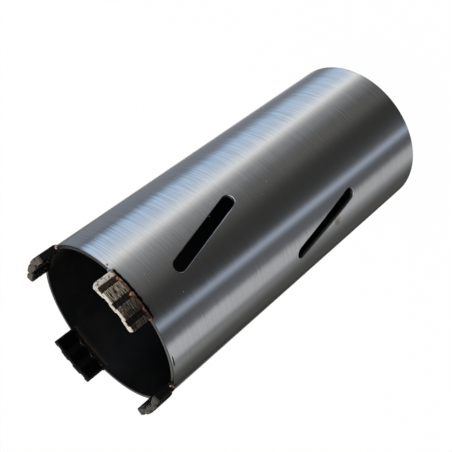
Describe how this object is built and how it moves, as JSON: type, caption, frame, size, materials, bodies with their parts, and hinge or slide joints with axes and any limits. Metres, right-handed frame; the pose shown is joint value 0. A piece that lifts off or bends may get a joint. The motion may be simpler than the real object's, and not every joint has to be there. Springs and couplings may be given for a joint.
{
  "type": "diamond core bit",
  "caption": "Dry diamond core bit: slotted steel barrel with turbo diamond segments brazed on its mouth and a threaded drive hub at its closed end.",
  "frame": {"origin": "middle of the hub's flat back face, which the bit stands on", "axes": "+Z along the bit's axis from the drive hub to the cutting mouth; segments on +X, +Y, -X and -Y"},
  "size_m": [0.068, 0.068, 0.164],
  "materials": {
    "barrel_steel": "circumferentially brushed, satin",
    "turned_steel": "turned",
    "hub_steel": "turned and oiled",
    "weld_bead": "as welded",
    "sintered_metal": "sintered, ground faces",
    "braze_filler": "as brazed"
  },
  "bodies": {
    "root": {"barrel": "barrel_steel", "back_plate": "turned_steel", "hub": "hub_steel", "plate_weld": "weld_bead", "hub_weld": "weld_bead", "segment_1": "sintered_metal", "braze_1": "braze_filler", "segment_2": "sintered_metal", "braze_2": "braze_filler", "segment_3": "sintered_metal", "braze_3": "braze_filler", "segment_4": "sintered_metal", "braze_4": "braze_filler"}
  },
  "joints": []
}
